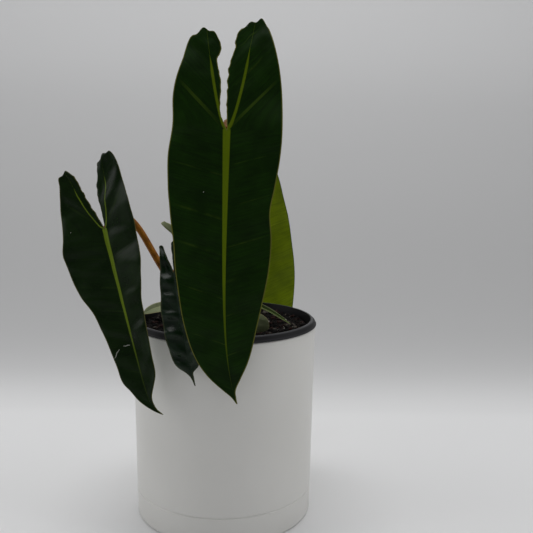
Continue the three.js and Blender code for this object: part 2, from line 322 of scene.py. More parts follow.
def cover_radius_at(height):
    return foot_radius + (cover_radius - foot_radius) * height / cover_height


def arc(centre_radius, centre_height, radius, start, end, steps):
    """Points on a round corner, from start to end in degrees."""
    angles = [math.radians(start + (end - start) * i / steps) for i in range(steps + 1)]
    return [(centre_radius + radius * math.cos(a), centre_height + radius * math.sin(a)) for a in angles]


lip_round = wall / 2 - 0.05 * mm
outline = [(0, 1.2 * mm), (foot_radius - 9 * mm, 1.2 * mm), (foot_radius - 8 * mm, 0)]
outline += arc(foot_radius - foot_rounding, foot_rounding, foot_rounding, -90, 0, 6)
outline += [
    (cover_radius_at(groove_height) - 0.02 * mm, groove_height - groove_half_width),
    (cover_radius_at(groove_height) - 0.8 * groove_depth, groove_height - 0.35 * groove_half_width),
    (cover_radius_at(groove_height) - groove_depth, groove_height),
    (cover_radius_at(groove_height) - 0.8 * groove_depth, groove_height + 0.35 * groove_half_width),
    (cover_radius_at(groove_height), groove_height + groove_half_width),
]
outline += [(cover_radius_at(h * mm), h * mm) for h in range(30, 150, 20)]
outline += arc(cover_radius - wall / 2, cover_height - lip_round, lip_round, 0, 180, 8)
outline += [(foot_radius - wall, floor_thickness + 3 * mm), (foot_radius - wall - 3 * mm, floor_thickness)]
outline += [(0, floor_thickness)]
finish_piece(lathe(outline, 192), "cover_pot_shell", [white_plastic],
             ["cover_pot"], smooth_angle=35)

# %% [markdown]
# ## Nursery pot
# The nursery pot is thin black polypropylene from a fast mould. Only its rim shows: a short cone
# that leans in from a lower edge to a flat lip. Its body narrows down inside the cover pot, and its
# floor has drain holes. Black plastic that has been handled and watered is greyed by fine scuffs that
# gather in streaks around it. The rim isn't pure black also because its colour is painted by height: a
# painted highlight on the lip, a paler lower edge and a darker cone; inside the lip, painted shade.

# %% Nursery pot sizes
fit_gap = 0.3 * mm
rim_lean = 3 * mm
rim_bottom = cover_height + fit_gap
lip_width = 2 * mm
nursery_wall = 1.3 * mm
nursery_play = 1.2 * mm
nursery_base_radius = 55 * mm
nursery_top_radius = cover_radius - wall - nursery_play
nursery_floor = nursery_low.z + 2 * mm
lip_radius = rim_radius - rim_lean

# %% Black moulded polypropylene
black_plastic, tree = new_material("moulded_polypropylene_black_scuffs_and_painted_highlight")
place = node(tree, "TexCoord").outputs["Object"]
streak_map = node(tree, "Mapping", {"Vector": place, "Scale": (1.0, 1.0, 8.0)})
streaks = node(tree, "TexNoise", {"Vector": streak_map, "Scale": 60.0, "Detail": 6.0, "Roughness": 0.7})
dust = node(tree, "MapRange", {"Value": streaks, "From Min": 0.35, "From Max": 0.75, "To Max": 0.35})

# The lip is a pale painted highlight and the rim's lower edge is painted paler; the cone stays darker.
place_split = node(tree, "SeparateXYZ", {"Vector": place})
rim_share = node(tree, "MapRange", {
    "Value": place_split.outputs["Z"], "From Min": rim_bottom, "From Max": lip_height,
})
# This ramp paints the rim's tones by height, with a painted highlight at the lip.
rim_highlight_ramp = node(tree, "ValToRGB", {"Fac": rim_share})
rim_highlight_stops = [(0.0, "#2a2a2c"), (0.3, "#252527"), (0.4, "#0f0f10"), (0.8, "#131314"), (0.93, "#48484a")]
set_stops(rim_highlight_ramp.color_ramp, [(share, linear(hex_colour)) for share, hex_colour in rim_highlight_stops])
flat_place = node(tree, "CombineXYZ", {"X": place_split.outputs["X"], "Y": place_split.outputs["Y"]})
from_axis = node(tree, "VectorMath", {0: flat_place}, operation="LENGTH")
# Inside the lip the plastic is painted near black: painted shade for the inside of the pot.
outside = node(tree, "Math", {0: from_axis, 1: lip_radius - 0.7 * lip_width}, operation="GREATER_THAN")
tone = node(tree, "Mix", {"Factor": outside, "A": linear("#060606"), "B": rim_highlight_ramp}, data_type="RGBA")
tint = node(tree, "Mix", {"Factor": dust, "A": tone, "B": linear("#2c2c2f")}, data_type="RGBA")
gloss = node(tree, "MapRange", {"Value": streaks, "To Min": 0.3, "To Max": 0.6})
skin = node(tree, "Bump", {"Height": streaks, "Strength": 0.25, "Distance": 0.1 * mm})
shader = node(tree, "BsdfPrincipled", {
    "Base Color": tint, "Roughness": gloss, "IOR": 1.49,
    "Normal": skin, "Specular IOR Level": 0.12,
})
node(tree, "OutputMaterial", {"Surface": shader})

# %% Nursery pot outline, spun
edge_round = 0.5 * mm
outline = [(0, nursery_low.z), (nursery_base_radius - 1 * mm, nursery_low.z)]
outline += [(nursery_base_radius, nursery_low.z + 1 * mm)]
outline += [(nursery_top_radius, rim_bottom), (rim_radius - edge_round, rim_bottom)]
outline += arc(rim_radius - edge_round, rim_bottom + edge_round, edge_round, -60, 20, 4)
outline += [
    (rim_radius - 0.22 * rim_lean, rim_bottom + 1.7 * mm),
    (rim_radius - 0.30 * rim_lean, rim_bottom + 1.95 * mm),
    (rim_radius - 0.42 * rim_lean, rim_bottom + 2.9 * mm),
]
outline += arc(lip_radius - edge_round, lip_height - edge_round, edge_round, 20, 90, 4)
outline += arc(lip_radius - lip_width + edge_round, lip_height - edge_round, edge_round, 90, 180, 4)
outline += [
    (nursery_top_radius - nursery_wall, rim_bottom - 1 * mm),
    (nursery_base_radius - nursery_wall, nursery_floor + 1 * mm),
    (nursery_base_radius - nursery_wall - 1 * mm, nursery_floor),
    (0, nursery_floor),
]
nursery_pot = finish_piece(lathe(outline, 160), "nursery_pot_shell", [black_plastic],
                           ["nursery_pot"])

# %% [markdown]
# The drain holes are drilled: a ring of short cylinders is taken away from the floor by a Boolean
# modifier, whose result becomes the pot's mesh. Cutting leaves clean, closed round edges, which the
# spun outline alone can't have.

# %% Drain holes, drilled
drain_holes, drain_circle, drain_radius, drill_length = 6, 36 * mm, 5 * mm, 12 * mm
bm = bmesh.new()
for i in range(drain_holes):
    angle = 2 * math.pi * i / drain_holes
    spot = Vector((drain_circle * math.cos(angle), drain_circle * math.sin(angle), nursery_low.z))
    bmesh.ops.create_cone(bm, cap_ends=True, segments=32, radius1=drain_radius, radius2=drain_radius,
                          depth=drill_length, matrix=Matrix.Translation(spot))
drill = in_scene("drill", mesh_of(bm, "drill"))
cut = nursery_pot.modifiers.new("drain_holes", "BOOLEAN")
cut.object, cut.operation, cut.solver = drill, "DIFFERENCE", "EXACT"
graph = bpy.context.evaluated_depsgraph_get()
drilled = bpy.data.meshes.new_from_object(nursery_pot.evaluated_get(graph))
nursery_pot.modifiers.clear()
nursery_pot.data = drilled
bpy.data.objects.remove(drill)
print("nursery pot drilled:", len(drilled.polygons), "faces")

# %% [markdown]
# ## Potting mix
# Damp peat is nearly black. What makes it read as a mix is what lies in it: chips of bark, some of
# them red-brown, and a few white grains of perlite. The bed is a spun solid whose top is pushed up
# and down by noise, and the chips and grains are small rough lumps strewn over it. Each lump starts
# as a twenty-sided ball that is squashed and turned, so hundreds of them stay cheap.

# %% Damp peat, bark and perlite
def mottled_material(name, dark, light, grain_size, roughness, depth, strength=0.8, detail=8.0,
                     crumble=0.7, spread=(0.35, 0.7), stretch=(1.0, 1.0, 1.0), shine=0.15):
    """Two colours mixed by a noise of the material's own grain size, which also makes its bumps."""
    material, tree = new_material(name)
    place = node(tree, "TexCoord").outputs["Object"]
    stretched = node(tree, "Mapping", {"Vector": place, "Scale": stretch})
    grain = node(tree, "TexNoise", {
        "Vector": stretched, "Scale": 1 / grain_size, "Detail": detail, "Roughness": crumble,
    })
    share = node(tree, "MapRange", {"Value": grain, "From Min": spread[0], "From Max": spread[1]})
    tint = node(tree, "Mix", {"Factor": share, "A": linear(dark), "B": linear(light)}, data_type="RGBA")
    bumps = node(tree, "Bump", {"Height": grain, "Strength": strength, "Distance": depth})
    shader = node(tree, "BsdfPrincipled", {
        "Base Color": tint, "Roughness": roughness, "Normal": bumps, "Specular IOR Level": shine,
    })
    node(tree, "OutputMaterial", {"Surface": shader})
    return material


peat = mottled_material("damp_peat_crumbled", "#040303", "#0d0a08", 3 * mm, 0.95, 1.2 * mm)
dark_bark = mottled_material("composted_bark_dark", "#080605", "#18120f", 2 * mm, 0.85, 0.5 * mm)
red_bark = mottled_material("composted_bark_red_brown", "#140806", "#30160f", 2 * mm, 0.8, 0.5 * mm)
dry_bark = mottled_material("composted_bark_dry_grey", "#1c1916", "#5b554d", 2 * mm, 0.9, 0.5 * mm)
perlite = mottled_material("expanded_perlite_white", "#77746c", "#b4b1a7", 1 * mm, 0.9, 0.3 * mm)

# %% Bed of mix
def mix_surface(x, y):
    """Height of the top of the mix, in metres: broad lumps, then crumbs."""
    spot = Vector((x, y, 0)) / mm
    broad = noise.noise(spot * 0.045)
    crumbs = noise.noise(spot * 0.35 + Vector((7, 3, 1)))
    fine = noise.noise(spot * 1.1 + Vector((1, 9, 4)))
    return mix_height + (1.2 * broad + 0.8 * crumbs + 0.35 * fine) * mm


brim_gap = 2.1 * mm
brim = nursery_top_radius - nursery_wall - brim_gap
base = nursery_base_radius - nursery_wall - fit_gap
pit = stem_radius * 0.9
rings = 64
outline = [(0, mix_low.z), (base, mix_low.z), (brim, mix_height - 2.5 * mm)]
outline += [(brim - (brim - pit) * i / rings, mix_height) for i in range(rings + 1)]
outline += [(pit, mix_height - 20 * mm), (0, mix_height - 20 * mm)]
bm = lathe(outline, 220)
for vert in bm.verts:
    if vert.co.z > mix_height - 0.1 * mm:
        vert.co.z = mix_surface(vert.co.x, vert.co.y)
bmesh.ops.recalc_face_normals(bm, faces=bm.faces)
finish_piece(bm, "peat_bed", [peat], ["potting_mix"], smooth_angle=60)

# %% Chips and grains strewn over it
def strew(name, count, sizes, flatness, materials, seed, spots=None):
    """Rough lumps on the mix. sizes is (smallest, largest) in metres; spots fixes where they lie."""
    draw = random.Random(seed)
    lump = bmesh.new()
    bmesh.ops.create_icosphere(lump, subdivisions=1, radius=0.5)
    for vert in lump.verts:
        vert.co *= 1 + 0.3 * (noise.noise(vert.co * 3 + Vector((seed, 0, 0))))
    template = mesh_of(lump, "lump")
    bm = bmesh.new()
    for i in range(count):
        if spots:
            x, y = spots[i]
        else:
            away = (brim - 1.5 * mm) * math.sqrt(draw.uniform(0.02, 1))
            angle = draw.uniform(0, 2 * math.pi)
            x, y = away * math.cos(angle), away * math.sin(angle)
        size = sizes[0] + (sizes[1] - sizes[0]) * draw.random() ** 2
        shape = Matrix.Diagonal((size, size * draw.uniform(0.4, 0.8), size * flatness, 1))
        lie = Matrix.Rotation(draw.gauss(0, 0.35), 4, "X") @ Matrix.Rotation(draw.gauss(0, 0.35), 4, "Y")
        turn = Matrix.Rotation(draw.uniform(0, 2 * math.pi), 4, "Z")
        spot = Matrix.Translation((x, y, mix_surface(x, y) + 0.25 * size * flatness))
        before = len(bm.verts)
        faces_before = len(bm.faces)
        bm.from_mesh(template)
        bm.verts.ensure_lookup_table()
        bm.faces.ensure_lookup_table()
        bmesh.ops.transform(bm, matrix=spot @ turn @ lie @ shape, verts=bm.verts[before:])
        kind = draw.randrange(len(materials))
        for face in bm.faces[faces_before:]:
            face.material_index = kind
    bpy.data.meshes.remove(template)
    return finish_piece(bm, name, materials, ["potting_mix"], smooth_angle=25)


chip_kinds = [dark_bark, red_bark, peat, dark_bark, red_bark, dry_bark, peat]
strew("bark_chips", 950, (2 * mm, 7 * mm), 0.42, chip_kinds, seed=11)
strew("bark_crumbs", 1500, (0.9 * mm, 2.4 * mm), 0.7, [dark_bark, red_bark, peat], seed=5)
strew("perlite_grains", 60, (1.2 * mm, 3 * mm), 0.8, [perlite], seed=3)

# %% [markdown]
# ## Stem
# All the leaves come from one short stem. It is green-brown, and each leaf that it has carried has
# left a ring around it. It is an outline with a low ring at every node, spun around the axis. Its
# bark has fine upright wrinkles.

# %% Green-brown stem skin
stem_skin = mottled_material(
    "young_stem_bark_ringed", "#2c2a12", "#5d5226", mm / 0.9, 0.55, 0.4 * mm, strength=0.5, detail=4.0,
    crumble=0.5, spread=(0, 1), stretch=(1.0, 1.0, 0.25), shine=0.5,
)

# %% Stem outline, spun
node_spacing = 11 * mm
ring_height = 0.6 * mm


def stem_radius_at(height):
    share = min(1, max(0, (height - mix_height) / (stem_height - mix_height)))
    return stem_radius * (1 - 0.2 * share)


outline = [(0, stem_low.z), (stem_radius * 0.8, stem_low.z), (stem_radius, stem_low.z + 1.5 * mm)]
height = mix_height - node_spacing
while height < stem_height - stem_radius - node_spacing / 2:
    for share, swell in ((0, 0), (0.25, -0.6), (0.55, -1), (0.75, -0.7), (0.86, 0.1), (0.93, 0)):
        at = height + share * node_spacing
        outline.append((stem_radius_at(at) + swell * ring_height, at))
    height += node_spacing
outline += [
    (stem_radius_at(stem_height) * 0.93, stem_height - stem_radius * 0.9),
    (stem_radius_at(stem_height) * 0.72, stem_height - stem_radius * 0.4),
    (stem_radius_at(stem_height) * 0.35, stem_height - stem_radius * 0.1),
    (0, stem_height),
]
finish_piece(lathe(outline, 48), "ringed_stem", [stem_skin], ["stem"], smooth_angle=60)

# %% [markdown]
# ## How a leaf is laid out
# Each leaf is described by where its stalk meets its blade and by how the blade hangs from there.
# `aim` is the direction from the pot's axis in degrees (0 is +X, -90 is the front), `rise` is measured
# up from the pot's lip, and the place outwards is measured from the rim (`reach`) or from the stem
# (`off_stem`). `heading` and `droop` point the midrib, `facing` and `look_up` point the upper side.
# Pairs hold the left and the right half, seen from the upper side. Lengths are in millimetres.
#
# `half_width` is at the stalk; `lobe` is how far a lobe stands up beyond it and `lobe_aside` how far
# from the axis its top is. `bow` bends the midrib, `tip_sweep` draws the tip aside, `fold` raises
# both halves into a V, and the ripples are the waves of the margin. `outer` and `inner` say where a
# margin and the edge of the sinus run: they hold, for each half, a few (distance down from the stalk,
# distance from the midrib) that a smooth curve joins. The two smallest leaves follow a formula
# instead, in which `parting` is high where the lobes stay close together.
#
# `ragged` is how torn the lobes are, `quilt` how far the blade swells between two veins, and
# `crinkle` how uneven it is. `lobe_ribs` is where the ribs of the lobes end, and `kind` is the skin.
# The stalk leaves the stem at `node` above the mix and climbs at `lift` degrees for a `stretch` of
# its span; it comes down at `dive` degrees over the last `arch` of it.

# %% Leaves
leaves = [
    dict(
        name="front", aim=-86, reach=4.2, rise=149,
        heading=-101.4, droop=87.1, facing=-90, look_up=0, length=194,
        half_width=(41, 39), lobe=(71, 78),
        bow=7, tip_sweep=10.5, fold=9, ripples=3.5, ripple_height=2.6, ripple_phase=0.4,
        node=42.5, lift=72, stretch=0.6, dive=62, arch=0.3, stalk_radius=2.9,
        outer=(
            ((-71, 20.9), (-62, 28), (-48, 32), (-29, 36.8), (-18, 38), (-5, 37.6), (20, 39.7),
             (39, 39.8), (58, 37.9), (78, 35), (97, 34.1), (116, 31.5), (136, 28.4), (155, 24.4),
             (165, 20.6), (175, 14.5), (184, 6.9), (189, 2.6), (194, 0.4)),
            ((-78, 26.2), (-64, 30.7), (-48, 35.1), (-29, 38), (0, 39), (19, 37.9), (39, 34.8),
             (58, 31.6), (76, 33), (97, 31.5), (116, 27.8), (136, 23), (155, 17.6), (165, 13.2),
             (175, 7.3), (184, 1.9), (189, 1), (194, 0.4)),
        ),
        inner=(
            ((-71, 11.9), (-65, 7.6), (-57, 5.3), (-48, 7.9), (-39, 5.8), (-29, 4.6), (-19, 5.1),
             (-9, 3.9), (0, 0)),
            ((-78, 17.2), (-71, 8.1), (-64, 5), (-56, 3.9), (-47, 0.9), (-38, -0.2), (-20, -0.5), (0, 0)),
        ),
        ragged=1.1, lobe_ribs=(16, 18.5),
        rib_width=5.3, vein_spacing=(30, 26.5), quilt=0.45, crinkle=0.35, kind="dark",
    ),
    dict(
        name="left", aim=-150, reach=24.3, rise=76.5,
        heading=-36.5, droop=70.3, facing=-112, look_up=8, length=144,
        half_width=(34, 30), lobe=(51, 54),
        bow=1, tip_sweep=9, sweep_power=22, fold=12, ripples=3, ripple_height=2.2, ripple_phase=2.1,
        node=14.5, lift=4, stretch=0.5, dive=68, arch=0.48, stalk_radius=2.8,
        outer=(
            ((-51, 22), (-48, 25.5), (-40, 26.9), (-32, 29.5), (-22, 32.7), (0, 33.3), (14, 36.8),
             (29, 36.3), (43, 31.1), (58, 24.5), (72, 22.4), (86, 19.3), (101, 16.7), (115, 15.7),
             (122, 11.9), (130, 8.2), (137, 4), (144, 0.4)),
            ((-54, 24), (-48, 26.2), (-32, 27.3), (-22, 29.5), (-12, 31.3), (0, 30.4), (14, 28),
             (29, 28.9), (43, 24.5), (58, 18.3), (72, 17.6), (86, 16.9), (101, 14.5), (115, 12.8),
             (122, 8.7), (130, 3.2), (137, 1.6), (144, 0.4)),
        ),
        inner=(
            ((-51, 18), (-48, 15.4), (-40, 12), (-32, 10.5), (-22, 7.3), (-12, 3.8), (0, 0)),
            ((-54, 14), (-48, 7), (-40, 4.8), (-32, 1.2), (-10, 0.5), (0, 0)),
        ),
        ragged=1, lobe_ribs=(20.5, 14), lobe_rib=0.13,
        rib_width=4, vein_spacing=(22, 24), quilt=0.8, crinkle=0.75, kind="deep",
    ),
    dict(
        name="dark", aim=-118, reach=-4, rise=46,
        heading=-49, droop=71.5, facing=-100, look_up=5, length=84,
        half_width=(14, 14), lobe=(23, 25), lobe_aside=(7, 5),
        bow=4, tip_sweep=0, fold=14, ripples=4, ripple_height=1.1, ripple_phase=1.2,
        node=9, lift=52, stretch=0.5, dive=60, arch=0.35, stalk_radius=1.8,
        outer=(
            ((-24, 7.8), (-22, 9), (-19, 8.7), (-10, 9.5), (0, 10.3), (11, 11.6), (22, 12.7), (37, 13.7),
             (51, 13), (61, 12), (69, 8.7), (73, 4.8), (77, 2), (84, 0.35)),
            ((-25, 3.5), (-22, 5.5), (-15, 8.6), (0, 11), (14, 13), (30, 14), (45, 13.6), (58, 11.5),
             (66, 8.8), (71, 6), (74, 1.4), (78, 0.8), (84, 0.35)),
        ),
        inner=(
            ((-24, 6), (-18, 5), (-12, 3.4), (-6, 1.4), (0, 0)),
            ((-25, 1.6), (-22, 0.1), (-10, 0.1), (0, 0)),
        ),
        ragged=0.5,
        rib_width=1.6, vein_spacing=(13, 12), quilt=2.1, crinkle=0.6, kind="darkest",
    ),
    dict(
        name="back", aim=82.5, reach=17, rise=88,
        heading=14, droop=82, facing=84, look_up=0, length=190,
        half_width=(41.2, 40), lobe=(80, 86), lobe_aside=(22, 18),
        bow=7, tip_sweep=8, fold=9, ripples=3, ripple_height=2.6, ripple_phase=1.4,
        node=48.5, lift=62, stretch=0.5, dive=64, arch=0.35, stalk_radius=2.9,
        outer=(
            ((-80, 24), (-60, 29.5), (-38, 33), (-19, 36.8), (0, 38.4), (19, 40.2), (38, 40.7), (57, 40.5),
             (76, 39), (95, 36), (125, 29), (150, 20), (170, 10.5), (182, 3.6), (190, 0.4)),
            ((-86, 20), (-66, 29), (-40, 34.5), (-19, 37.5), (0, 39), (38, 38.6), (76, 36), (110, 30),
             (140, 21.5), (165, 12), (180, 4.4), (190, 0.4)),
        ),
        inner=(
            ((-80, 18), (-72, 10), (-60, 5), (-40, 2), (-20, 1.6), (0, 0)),
            ((-86, 16), (-78, 9), (-60, 3.5), (-30, 1.6), (0, 0)),
        ),
        ragged=1.2,
        rib_width=5.3, vein_spacing=(27, 29), quilt=0.45, crinkle=0.4, kind="bright",
    ),
    dict(
        name="middle", aim=164, off_stem=21.5, rise=54,
        heading=-100, droop=84, facing=-100, look_up=0, length=58,
        half_width=(15, 14), lobe=(24, 22), lobe_aside=(26, 8),
        bow=3, tip_sweep=2, fold=10, ripples=2, ripple_height=0.8, ripple_phase=0.6,
        node=27.5, lift=62, stretch=0.5, dive=55, arch=0.4, stalk_radius=1.6,
        outer=(
            ((-24, 26), (-22, 27.9), (-18, 23.6), (-13, 18), (-7, 15.6), (0, 15), (15, 14.4), (30, 11.8),
             (45, 7), (53, 2.6), (58, 0.4)),
            ((-22, 8), (-15, 12), (-8, 13.6), (0, 14), (15, 13.4), (30, 11), (45, 6.5), (53, 2.4),
             (58, 0.4)),
        ),
        inner=(
            ((-24, 25), (-23, 22.4), (-21, 19.4), (-18.4, 17.4), (-14, 12), (-8, 5), (0, 0)),
            ((-22, 7), (-18, 3), (-10, 1), (0, 0)),
        ),
        ragged=0.4,
        rib_width=2, vein_spacing=(9, 10), quilt=0.4, crinkle=0.2, kind="pale",
    ),
    dict(
        name="low_left", aim=158, reach=-40.5, rise=9.5,
        heading=-175, droop=13, facing=-90, look_up=48, length=38,
        half_width=(6, 9), lobe=(7, 9), lobe_aside=(4, 5),
        bow=2, tip_sweep=2, fold=16, ripples=2, ripple_height=0.5, ripple_phase=0,
        node=4.5, lift=35, stretch=0.4, dive=-25, arch=0.35, stalk_radius=1.3,
        outer=(
            ((-7, 3.4), (-4, 4.2), (0, 4.4), (24, 4.4), (31, 4.2), (35, 3.4), (37, 2), (38, 0.3)),
            ((-9, 6), (-5, 8.4), (0, 9), (12, 8.8), (22, 7.2), (30, 5), (35, 2.8), (37, 1.2), (38, 0.3)),
        ),
        inner=(
            ((-7, 2.6), (-4, 1.2), (0, 0)),
            ((-9, 4.6), (-5, 1.6), (0, 0)),
        ),
        ragged=0.2,
        rib_width=1.4, vein_spacing=(6, 6.5), quilt=0.4, crinkle=0.2, kind="pale",
    ),
    dict(
        name="low_front", aim=-60, off_stem=41, rise=-1.5,
        heading=150, droop=-80, facing=-76, look_up=10, length=16,
        half_width=(13, 13), lobe=(3, 3), lobe_aside=(5, 5), parting=3,
        bow=2, tip_sweep=0, fold=8, ripples=1, ripple_height=0.4, ripple_phase=0,
        node=5, lift=8, stretch=0.4, dive=0, arch=0.3, stalk_radius=1.3,
        ragged=0.1,
        rib_width=1.4, vein_spacing=(7, 7), quilt=0.3, crinkle=0.2, kind="pale",
    ),
    dict(
        name="low_right", aim=5, off_stem=16.5, rise=9.5,
        heading=-28, droop=21, facing=-90, look_up=60, length=37,
        half_width=(3.1, 3.1), lobe=(4, 4), lobe_aside=(2.5, 2.5), parting=3,
        bow=2.5, tip_sweep=1, fold=36, ripples=1, ripple_height=0.3, ripple_phase=0,
        node=10.5, lift=40, stretch=0.4, dive=-35, arch=0.35, stalk_radius=1.3,
        ragged=0.1,
        rib_width=1, vein_spacing=(7, 7), quilt=0.2, crinkle=0.1, kind="striped",
    ),
]


def direction(azimuth, elevation):
    a, e = math.radians(azimuth), math.radians(elevation)
    return Vector((math.cos(e) * math.cos(a), math.cos(e) * math.sin(a), math.sin(e)))


def leaf_axes(leaf):
    """Where the stalk meets the blade, and the blade's own axes: along, out of the upper side, across."""
    away = rim_radius / mm + leaf["reach"] if "reach" in leaf else stem_radius / mm + leaf["off_stem"]
    attach = direction(leaf["aim"], 0) * away
    attach.z = lip_height / mm + leaf["rise"]
    along = direction(leaf["heading"], -leaf["droop"])
    out = direction(leaf["facing"], leaf["look_up"])
    out = (out - along * out.dot(along)).normalized()
    return attach, along, out, out.cross(along)


# %% [markdown]
# ## The outline of a blade
# A place on the blade has two numbers: `down`, which is 0 at the stalk, 1 at the tip and negative in
# the lobes, and `aside`, the distance from the midrib in millimetres. The margin is a function of
# `down`: wide at the stalk, closing to a point that ends in a narrow drip tip. The edge of the sinus
# is roughened, because real leaves tear and curl there as they unfold.

# %% Margin and sinus
round_top = 0.09  # the share of a lobe's height over which its top closes


def lobe_share(leaf, down, half):
    return min(1, max(0, -down * leaf["length"] / leaf["lobe"][half]))


def smooth_curve(points, at):
    """Value at one place of the curve through (place, value) points, without overshoot."""
    if at <= points[0][0]:
        return points[0][1]
    for k in range(len(points) - 1):
        (x0, y0), (x1, y1) = points[k], points[k + 1]
        if at <= x1:
            break
    else:
        return points[-1][1]
    slope = (y1 - y0) / (x1 - x0)
    before = (y0 - points[k - 1][1]) / (x0 - points[k - 1][0]) if k else slope
    after = (points[k + 2][1] - y1) / (points[k + 2][0] - x1) if k + 2 < len(points) else slope
    start = (before + slope) / 2 if before * slope > 0 else 0
    end = (slope + after) / 2 if slope * after > 0 else 0
    t = (at - x0) / (x1 - x0)
    width = x1 - x0
    return (
        y0 * (1 + 2 * t) * (1 - t) ** 2 + start * width * t * (1 - t) ** 2
        + y1 * t * t * (3 - 2 * t) + end * width * t * t * (t - 1)
    )


def edges_at(leaf, down, half):
    """Distances from the midrib to the sinus edge and to the margin, in millimetres."""
    share = lobe_share(leaf, down, half)
    if "outer" in leaf:
        place = down * leaf["length"]
        outer = smooth_curve(leaf["outer"][half], place)
        inner = smooth_curve(leaf["inner"][half], place) if down < 0 else 0
        torn = noise.noise(Vector((place / 4, 9 * half, leaf["length"])))
        inner += leaf["ragged"] * torn * min(1, 4 * share)
        closing = math.sqrt(max(0, 1 - max(0, (share - 1 + round_top) / round_top) ** 2))
        middle = (inner + outer) / 2
        return middle - (middle - inner) * closing, middle + (outer - middle) * closing
    width, top = leaf["half_width"][half], leaf["lobe_aside"][half]
    if down >= 0:
        tail = leaf["length"] * 0.008 * max(0, 1 - max(0, (down - 0.9) / 0.1) ** 2)
        shape = width * max(0, 1 - (down / 0.97) ** 3)
        return 0, math.sqrt(shape ** 2 + tail ** 2) if down > 0.5 else shape
    gap = min(1, share * 4) * 1.6
    wave = leaf["ragged"] * 0.6 * math.sin(26 * share + half) * share * (1 - share)
    inner = gap + wave + (top - gap) * (1 - math.sqrt(max(0, 1 - share ** leaf["parting"])))
    return inner, top + (width - top) * math.sqrt(max(0, 1 - share ** 2.2))


# %% [markdown]
# ## Ribs and veins
# The midrib runs from the stalk to the tip. Two thinner ribs go from the stalk up into the lobes and
# thin out there. Side veins leave the midrib every few centimetres and rise gently towards the lobes, and
# in the lobes they rise steeply. `vein_phase` counts them: it is a whole number on each vein, so a
# material can draw the veins from it and the mesh can swell between them.

# %% Rib and vein fields
def rib_half_width(leaf, down):
    if down < 0:
        return 0.25 * leaf["rib_width"]
    thinned = 0.1 + 0.9 * (1 - down) ** 1.4
    return 0.5 * leaf["rib_width"] * thinned * max(0.15, 1 - max(0, (down - 0.78) / 0.18) ** 1.5)


def lobe_rib_aside(leaf, down, half):
    """How far from the axis the rib of a lobe runs."""
    if "lobe_ribs" in leaf:
        top = leaf["lobe_ribs"][half]
    else:
        top = 0.45 * leaf["lobe_aside"][half] + 0.12 * leaf["lobe"][half]
    return top * lobe_share(leaf, down, half) ** 0.62


def lobe_rib_half_width(leaf, down, half):
    """A lobe's rib keeps its width and then thins out quickly, well before the lobe's top."""
    share = lobe_share(leaf, down, half)
    width = leaf.get("lobe_rib", 0.2) * leaf["rib_width"] * (1 + 0.9 * math.exp(-18 * share))
    return width * min(1, max(0.06, (0.74 - share) / 0.16))


def vein_phase(leaf, down, aside, half):
    """Straight side veins rise gently; above the stalk they turn up until they run at 45 degrees."""
    place = down * leaf["length"]
    turned = min(1, max(0, math.atan2(-place, max(aside, 0.01)) / (math.pi / 4)))
    rise = 0.24 + 0.2 * max(0, down)
    rise += (1 - rise) * turned
    phase = (place + rise * aside) / leaf["vein_spacing"][half]
    return phase + 0.1 * math.sin(5 * phase + 2 * half) * min(1, abs(phase))


# %% [markdown]
# ## From flat outline to hanging blade
# A point of the blade is carried down the bowed midrib, out to the side over the fold, and lifted by
# the ripple of the margin and the slight swelling between two veins. The upper skin then stands off
# the sheet by half the blade's thickness and the lower skin hangs under it, with the midrib as a round
# keel below. At every free edge both skins meet, so the blade is one closed thin solid.

# %% Place of a point on one skin
blade_half_thickness = 0.35


def blade_point(leaf, axes, down, aside, half, skin, edge):
    attach, along, out, across = axes
    side = 2 * half - 1
    reach = max(0, aside) / leaf["half_width"][half]
    fold = math.radians(leaf["fold"])
    waves = 2 * math.pi * leaf["ripples"] * down + leaf["ripple_phase"] + side
    ripple = leaf["ripple_height"] * reach ** 1.5 * math.sin(waves)
    phase = vein_phase(leaf, down, aside, half)
    swell = leaf["quilt"] * math.cos(2 * math.pi * phase) * min(1, aside / 6) * min(1, edge / 4)
    crinkle = noise.noise(Vector((down * leaf["length"] / 6.5, aside / 20, 5 * side + leaf["length"])))
    crinkle *= leaf["crinkle"] * min(1, max(0, aside) / 5) * min(1, edge / 5)
    lift = 4 * leaf["bow"] * down * (1 - down) + aside * math.sin(fold) + ripple - swell + crinkle
    thin = min(1, math.sqrt(edge / 0.8))
    rib = max(0, 1 - (aside / (1.15 * max(0.1, rib_half_width(leaf, down)))) ** 2) if down >= 0 else 0
    rib_aside = lobe_rib_aside(leaf, down, half)
    rib_half = 1.3 * lobe_rib_half_width(leaf, down, half)
    lobe_rib = max(0, 1 - ((aside - rib_aside) / rib_half) ** 2) if down < 0 else 0
    lobe_rib *= max(0, 1 - 1.3 * lobe_share(leaf, down, half))
    if skin > 0:
        lift += thin * (blade_half_thickness + 0.06 * leaf["rib_width"] * (math.sqrt(rib) + lobe_rib * 0.6))
    else:
        keel = 0.28 * leaf["rib_width"] * (math.sqrt(rib) + 0.4 * lobe_rib)
        lift -= thin * (blade_half_thickness + keel)
    sweep = leaf["tip_sweep"] * down ** leaf.get("sweep_power", 6) if down > 0 else 0
    crumple = 0
    if down < 0:
        share = lobe_share(leaf, down, half)
        crumple = leaf["ragged"] * share ** 3 * math.sin(aside * 0.75 + 3 * half)
    return (
        attach + along * (leaf["length"] * down - crumple)
        + across * (side * aside * math.cos(fold) + sweep) + out * lift
    ) * mm


# %% [markdown]
# ## Blade mesh
# One half of one skin is a plain grid of squares, made by one operator and laid onto the blade. Its
# columns crowd towards the midrib, where the keel curves. Four such grids, upper and lower, left and
# right, are welded where they meet. Each point keeps what a material needs to know about it: its
# distance from the ribs, the vein count and its distance from the edge.

# %% Blade of a leaf
vein_count_start = 20  # the vein count is stored from here up, so that it stays positive
first_vein_width = 0.035  # half the width of a lobe's first vein, in vein counts
column_width, lobe_row_height, row_height = 1.9, 1.6, 1.7


